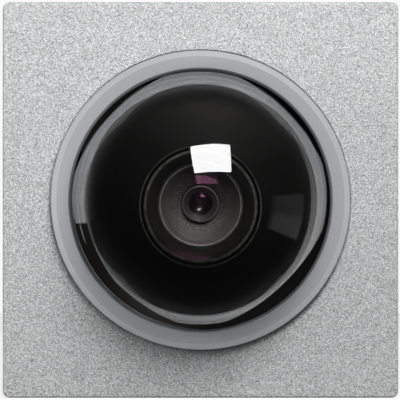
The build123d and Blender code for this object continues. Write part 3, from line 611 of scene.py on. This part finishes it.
# ---------------------------------------------------------------------------
# camera head
# ---------------------------------------------------------------------------
R, RIN = 28.7, 27.2
a_lip = math.degrees(math.acos(14.55 / R))
a_back = -math.degrees(math.asin(4.5 / R))
outer = [(r, s) for r, s in arc(R, a_lip, a_back, 72)]
a_in = math.degrees(math.acos(14.25 / RIN))
inner = [(r, s) for r, s in arc(RIN, -math.degrees(math.asin(4.5 / RIN)), a_in, 60)]
lip_s = R * math.sin(math.radians(a_lip))
pts = [(14.25, lip_s - 0.3), (14.28, lip_s - 0.16), (14.38, lip_s - 0.05)] + outer + inner
ball = lathe("camera_ball_shell", pts, seg=256, core=True, tilt=TILT, sharp=30)
put(ball, "camera_head", M["ball_black"], "ball_black", "camera_ball")

bz = [(10.9, 13.2), (17.8, 13.2), (17.8, 14.8), (13.5, 14.8)]
bz += spline_round([(13.5, 14.8), (13.55, 24.37, 0.3), (12.95, 24.37, 0.2), (10.4, 20.2, 0.25), (10.4, 19.2)], 0.2, 5)[1:]
bz += [(9.92, 19.2), (9.92, 17.1), (9.2, 17.1), (9.2, 16.4), (10.9, 15.9)]
bezel = lathe("camera_bezel_funnel", bz, seg=224, core=True, tilt=TILT, sharp=30)
put(bezel, "camera_head", M["bezel_black"], "bezel_black", "camera_bezel")

rt = spline_round([(9.62, 19.2), (9.62, 19.9, 0.14), (10.34, 19.9, 0.14), (10.34, 19.2)], 0.12, 4)
ret = lathe("lens_retaining_ring", rt, seg=224, core=True, tilt=TILT, sharp=40)
put(ret, "camera_head", M["barrel_black"], "barrel_black", "lens_retainer")


def lens_profile(edge_r, s_front, s_back, front, back, cf, cb, n=36):
    def sag(rad, r):
        return rad - math.sqrt(rad * rad - r * r)
    pf = [(cf * i / n, s_front + math.copysign(1, front) * (sag(abs(front), cf) - sag(abs(front), cf * i / n))) for i in range(n + 1)]
    pb = [(cb * i / n, s_back + math.copysign(1, back) * (sag(abs(back), cb) - sag(abs(back), cb * i / n))) for i in range(n, -1, -1)]
    return pf + [(edge_r, s_front), (edge_r, s_back)] + pb


inner_lenses = []
for nm, node, args in (
    ("front_lens_glass", "front_lens", (9.88, 19.2, 17.6, 19.4, 14.0, 9.6, 8.4)),
    ("middle_lens_glass", "middle_lens", (3.9, 13.4, 12.2, 5.8, -4.0, 3.15, 2.6)),
    ("rear_lens_glass", "rear_lens", (3.9, 9.6, 8.6, 2.7, -3.1, 2.2, 2.3)),
):
    ob = lathe(nm, lens_profile(*args), seg=160, closed=False, core=True, tilt=TILT, sharp=30)
    put(ob, "camera_head", M["lens_coated" if node == "front_lens" else "lens_inner"], "lens_coated", node)
    if node != "front_lens":
        inner_lenses.append(ob)

bf = [(9.86, 17.6), (9.35, 17.6)]
steps = 16
for i in range(steps):
    t0, t1 = i / steps, (i + 1) / steps
    r0, s0 = 9.3 + (4.95 - 9.3) * t0, 17.55 + (13.4 - 17.55) * t0
    r1, s1 = 9.3 + (4.95 - 9.3) * t1, 17.55 + (13.4 - 17.55) * t1
    bf += [(r0, s0), (r1 + 0.05, s1 + 0.048), (r1 + 0.035, s1 - 0.02)]
bf += [(4.95, 13.4), (4.95, 12.85), (5.45, 12.85), (9.1, 16.35), (9.1, 17.1), (9.86, 17.1)]
baf = lathe("light_baffle", bf, seg=192, core=True, tilt=TILT, sharp=25)
put(baf, "camera_head", M["baffle_black"], "baffle_black", "lens_baffle")

lb = spline_round([(3.95, 13.4), (3.2, 13.4), (3.2, 14.25, 0.08), (4.25, 15.0, 0.1), (4.55, 15.0, 0.14), (4.55, 11.4)], 0.08, 4)
lb += [(5.8, 11.4), (6.0, 11.2)]
for i in range(12):
    s = 11.0 - i * 0.48
    lb += [(6.0, s), (5.78, s - 0.24)]
lb += [(6.0, 5.2), (6.0, 5.0), (3.95, 5.0)]
bar = lathe("lens_barrel_tube", lb, seg=160, core=True, tilt=TILT, sharp=25)
put(bar, "camera_head", M["barrel_black"], "barrel_black", "lens_barrel")

# ---------------------------------------------------------------------------
# latch springs: closed end turns, compressed by the latch
# ---------------------------------------------------------------------------
def coil(name, side, x0=36.0, length=9.4, turns=7.0, radius=1.3, wire=0.22, y=10.8, per=30, ring=10):
    me = bpy.data.meshes.new(name)
    bm = bmesh.new()
    end, total = 0.46, int(turns * per)
    mid = (length - 2 * 0.9 * end) / (turns - 1.8)

    def centre(u):
        if u < 0.9:
            x = end * u
        elif u > turns - 0.9:
            x = length - end * (turns - u)
        else:
            x = 0.9 * end + (u - 0.9) * mid
        a = 2 * math.pi * u
        return Vector((side * (x0 + x), y + radius * math.cos(a), radius * math.sin(a)))

    rows = []
    for i in range(total + 1):
        u = turns * i / total
        c = centre(u)
        t = (centre(min(turns, u + 0.01)) - centre(max(0.0, u - 0.01))).normalized()
        e = Vector((0, math.cos(2 * math.pi * u), math.sin(2 * math.pi * u)))
        e = (e - t * e.dot(t)).normalized()
        b = t.cross(e)
        rows.append([bm.verts.new((c + (e * math.cos(2 * math.pi * k / ring) + b * math.sin(2 * math.pi * k / ring)) * wire) * MM) for k in range(ring)])
    for r0, r1 in zip(rows, rows[1:]):
        for k in range(ring):
            bm.faces.new((r0[k], r0[(k + 1) % ring], r1[(k + 1) % ring], r1[k]))
    bm.faces.new(rows[0][::-1])
    bm.faces.new(rows[-1])
    bmesh.ops.recalc_face_normals(bm, faces=bm.faces)
    bm.to_mesh(me)
    bm.free()
    me.shade_smooth()
    me.set_sharp_from_angle(angle=math.radians(50))
    return link(bpy.data.objects.new(name, me))


for side, tag in ((1, "right"), (-1, "left")):
    sp = coil("latch_coil_" + tag, side)
    put(sp, "root", M["spring_steel"], "spring_steel", "latch_spring_" + tag)
    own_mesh(sp)

# ---------------------------------------------------------------------------
# stage, light and camera
# ---------------------------------------------------------------------------
scene = bpy.context.scene
scene.view_settings.view_transform = "Standard"
scene.view_settings.look = "None"
scene.view_settings.exposure = 0.0
scene.cycles.max_bounces = 24
scene.cycles.transmission_bounces = 24
scene.cycles.glossy_bounces = 8
scene.cycles.transparent_max_bounces = 24
scene.cycles.caustics_refractive = False
scene.cycles.caustics_reflective = False
scene.cycles.sample_clamp_indirect = 2.0
scene.cycles.blur_glossy = 0.5

me = bpy.data.meshes.new("floor")
bm = bmesh.new()
bmesh.ops.create_grid(bm, x_segments=2, y_segments=2, size=1.5)
bm.to_mesh(me)
bm.free()
floor = link(bpy.data.objects.new("floor", me))
floor.location = (0, 0, -0.0496)
fm = Mat("pale_floor")
fm.to("Base Color", fm.ramp(fm.noise(8, 3, 0.5), [(0.3, (0.27, 0.27, 0.27)), (0.7, (0.29, 0.29, 0.29))]))
fm.set(Roughness=0.6, Emission_Color=(1, 1, 1, 1), Emission_Strength=0.78)
floor.data.materials.append(fm.m)
floor.visible_glossy = False
floor.visible_transmission = False
floor.visible_diffuse = False
floor.visible_shadow = False


def area(name, direction, distance, sx, sy, radiance, target=(0, -0.02, 0), glossy=True, color=(1, 1, 1), up="Z"):
    d = Vector(direction).normalized()
    L = bpy.data.lights.new(name, "AREA")
    L.shape = "RECTANGLE"
    L.size, L.size_y = sx, sy
    L.energy = radiance * math.pi * sx * sy
    L.color = color
    o = link(bpy.data.objects.new(name, L))
    o.location = Vector(target) + d * distance
    o.rotation_euler = (-d).to_track_quat("-Z", "Y").to_euler()
    o.visible_camera = False
    o.visible_glossy = glossy
    if not glossy:
        o.visible_transmission = False
    return o


soft = area("softbox", (0.160, -0.781, 0.612), 0.40, 0.234, 0.182, 13.0)
rest = bpy.data.collections.new("not_the_dome")
rest.objects.link(dome)
rest.collection_objects[0].light_linking.link_state = "EXCLUDE"
soft.light_linking.receiver_collection = rest
mirror = area("softbox_face", (0.160, -0.781, 0.612), 0.398, 0.233, 0.181, 18.0)       # the bright diffuser that the dome mirrors
mirror.visible_diffuse = False
clear = bpy.data.collections.new("dome_only")
clear.objects.link(dome)
mirror.light_linking.receiver_collection = clear
# the small bright glints in the two inner lenses
glint = area("lens_glint", (0.160, -0.781, 0.612), 0.39, 0.10, 0.07, 850.0)
glint.visible_diffuse = False
glint.visible_transmission = False
deep = bpy.data.collections.new("inner_lenses_only")
for ob in inner_lenses:
    deep.objects.link(ob)
glint.light_linking.receiver_collection = deep
# a pale wall to the left, for the panel
left = area("left_fill", (-0.85, -0.52, 0.1), 0.19, 0.10, 0.10, 2.5, target=(0, 0, 0), glossy=False)
plate = bpy.data.collections.new("panel_only")
plate.objects.link(N["front_panel"])
left.light_linking.receiver_collection = plate
# light that reaches the dome's foot from below and from the right
rim = area("rim_light", (0.5, -0.35, -0.79), 0.35, 0.2, 0.2, 11.5, glossy=False)
rim.light_linking.receiver_collection = clear
rim2 = area("rim_light_left", (-0.80, -0.50, 0.10), 0.35, 0.2, 0.2, 3.0, glossy=False)
rim2.light_linking.receiver_collection = clear
area("overhead", (0.0, -0.25, 1.0), 0.9, 1.2, 0.8, 0.12, glossy=False)

# light that the clear edge throws onto the collar around it
glow = area("edge_glow", (0.0, -1.0, 0.0), 0.6, 0.5, 0.5, 3.3, glossy=False)
glow2 = area("edge_glow_left", (-0.7071, -0.7071, 0.05), 0.10, 0.03, 0.03, 20.0, target=(-0.0355, -0.006, 0.0), glossy=False)
glow2.location = (-0.08, -0.08, 0.0)
glow3 = area("edge_glow_right", (0.7071, -0.7071, 0.05), 0.10, 0.03, 0.03, 10.0, target=(0.0355, -0.006, 0.0), glossy=False)
glow3.location = (0.08, -0.08, 0.0)
lit = bpy.data.collections.new("collar_only")
lit.objects.link(collar)
glow.light_linking.receiver_collection = lit
glow2.light_linking.receiver_collection = lit
glow3.light_linking.receiver_collection = lit

# soft light behind the object, for the views from the back
area("rear_fill", (0.35, 1.0, 0.55), 0.9, 0.8, 0.6, 1.6, glossy=False)

world = bpy.data.worlds.new("studio")
scene.world = world
world.use_nodes = True
wt = world.node_tree
wt.nodes.clear()
wo = wt.nodes.new("ShaderNodeOutputWorld")
bg1 = wt.nodes.new("ShaderNodeBackground")
bg2 = wt.nodes.new("ShaderNodeBackground")
mx = wt.nodes.new("ShaderNodeMixShader")
lp = wt.nodes.new("ShaderNodeLightPath")
tc = wt.nodes.new("ShaderNodeTexCoord")


def lobe(direction, stops):
    """Grey level of the room around a direction; stops are (cosine, level)."""
    dot = wt.nodes.new("ShaderNodeVectorMath")
    dot.operation = "DOT_PRODUCT"
    wt.links.new(tc.outputs["Generated"], dot.inputs[0])
    dot.inputs[1].default_value = Vector(direction).normalized()
    mr = wt.nodes.new("ShaderNodeMapRange")
    wt.links.new(dot.outputs["Value"], mr.inputs[0])
    mr.inputs[1].default_value, mr.inputs[2].default_value = -1.0, 1.0
    rp = wt.nodes.new("ShaderNodeValToRGB")
    e = rp.color_ramp.elements
    while len(e) < len(stops):
        e.new(0.5)
    for el, (c, v) in zip(e, stops):
        el.position = (c + 1) / 2
        el.color = (v, v * 0.97, v * 0.94, 1)
    wt.links.new(mr.outputs[0], rp.inputs[0])
    return rp.outputs["Color"]


def plus(a, b):
    x = wt.nodes.new("ShaderNodeVectorMath")
    x.operation = "ADD"
    wt.links.new(a, x.inputs[0])
    wt.links.new(b, x.inputs[1])
    return x.outputs[0]


room = lobe((0, 0, 1), [(-1.0, 0.038), (0.0, 0.035), (1.0, 0.040)])
ceiling = lobe((0.13, 0, 0.99), [(0.58, 0.0), (0.79, 0.06), (0.92, 0.11), (0.99, 0.20)])


def wmath(op, a, b=None):
    x = wt.nodes.new("ShaderNodeMath")
    x.operation = op
    for i, v in enumerate((a, b)):
        if v is None:
            continue
        if isinstance(v, (int, float)):
            x.inputs[i].default_value = v
        else:
            wt.links.new(v, x.inputs[i])
    return x.outputs[0]


def wstep(v, a, b):
    """0 below a and 1 above b (or the reverse when a is larger)."""
    x = wt.nodes.new("ShaderNodeMapRange")
    wt.links.new(v, x.inputs[0])
    for i, k in zip((1, 2, 3, 4), (a, b, 0.0, 1.0)):
        x.inputs[i].default_value = k
    return x.outputs[0]


dirs = wt.nodes.new("ShaderNodeSeparateXYZ")
wt.links.new(tc.outputs["Generated"], dirs.inputs[0])
# the bright part of the ceiling ends above the object
scale = wt.nodes.new("ShaderNodeVectorMath")
scale.operation = "SCALE"
wt.links.new(ceiling, scale.inputs[0])
wt.links.new(wstep(dirs.outputs["Y"], 0.36, 0.06), scale.inputs["Scale"])
ceiling = scale.outputs[0]
# a window to the right of the object: a low, wide opening with a dimmer upper pane
slope = wmath("DIVIDE", dirs.outputs["Z"], wmath("MAXIMUM", dirs.outputs["X"], 0.02))
pane = wmath("MULTIPLY", wmath("MULTIPLY", wstep(slope, 0.075, 0.045), wstep(slope, -0.43, -0.40)), wmath("MULTIPLY", wstep(dirs.outputs["Y"], -0.42, -0.30), wstep(dirs.outputs["Y"], 0.30, 0.24)))
pane = wmath("MULTIPLY", pane, wmath("GREATER_THAN", dirs.outputs["X"], 0.1))
level = wmath("ADD", 0.17, wmath("MULTIPLY", wstep(slope, -0.14, -0.22), 0.16))
pane = wmath("MULTIPLY", pane, level)
room = plus(plus(room, ceiling), pane)
bg1.inputs[0].default_value = (0.95, 0.95, 0.95, 1)
bg1.inputs[1].default_value = 1.0
wt.links.new(room, bg2.inputs[0])
bg2.inputs[1].default_value = 1.0
bg3 = wt.nodes.new("ShaderNodeBackground")      # soft light of the room, for matt surfaces
bg3.inputs[0].default_value = (0.17, 0.17, 0.17, 1)
bg3.inputs[1].default_value = 1.0
mx0 = wt.nodes.new("ShaderNodeMixShader")
wt.links.new(lp.outputs["Is Diffuse Ray"], mx0.inputs[0])
wt.links.new(bg2.outputs[0], mx0.inputs[1])
wt.links.new(bg3.outputs[0], mx0.inputs[2])
wt.links.new(lp.outputs["Is Camera Ray"], mx.inputs[0])
wt.links.new(mx0.outputs[0], mx.inputs[1])
wt.links.new(bg1.outputs[0], mx.inputs[2])
wt.links.new(mx.outputs[0], wo.inputs[0])

DIST = 2.0
cam = bpy.data.cameras.new("camera")
cam.sensor_width = 36.0
cam.lens = 36.0 * (DIST - 0.003) / (400 / 3.995 * MM)
cam.clip_end = 20.0
camo = link(bpy.data.objects.new("camera", cam))
camo.location = (-0.00012, -DIST, 0)
camo.rotation_euler = (math.radians(90), 0, 0)
scene.camera = camo
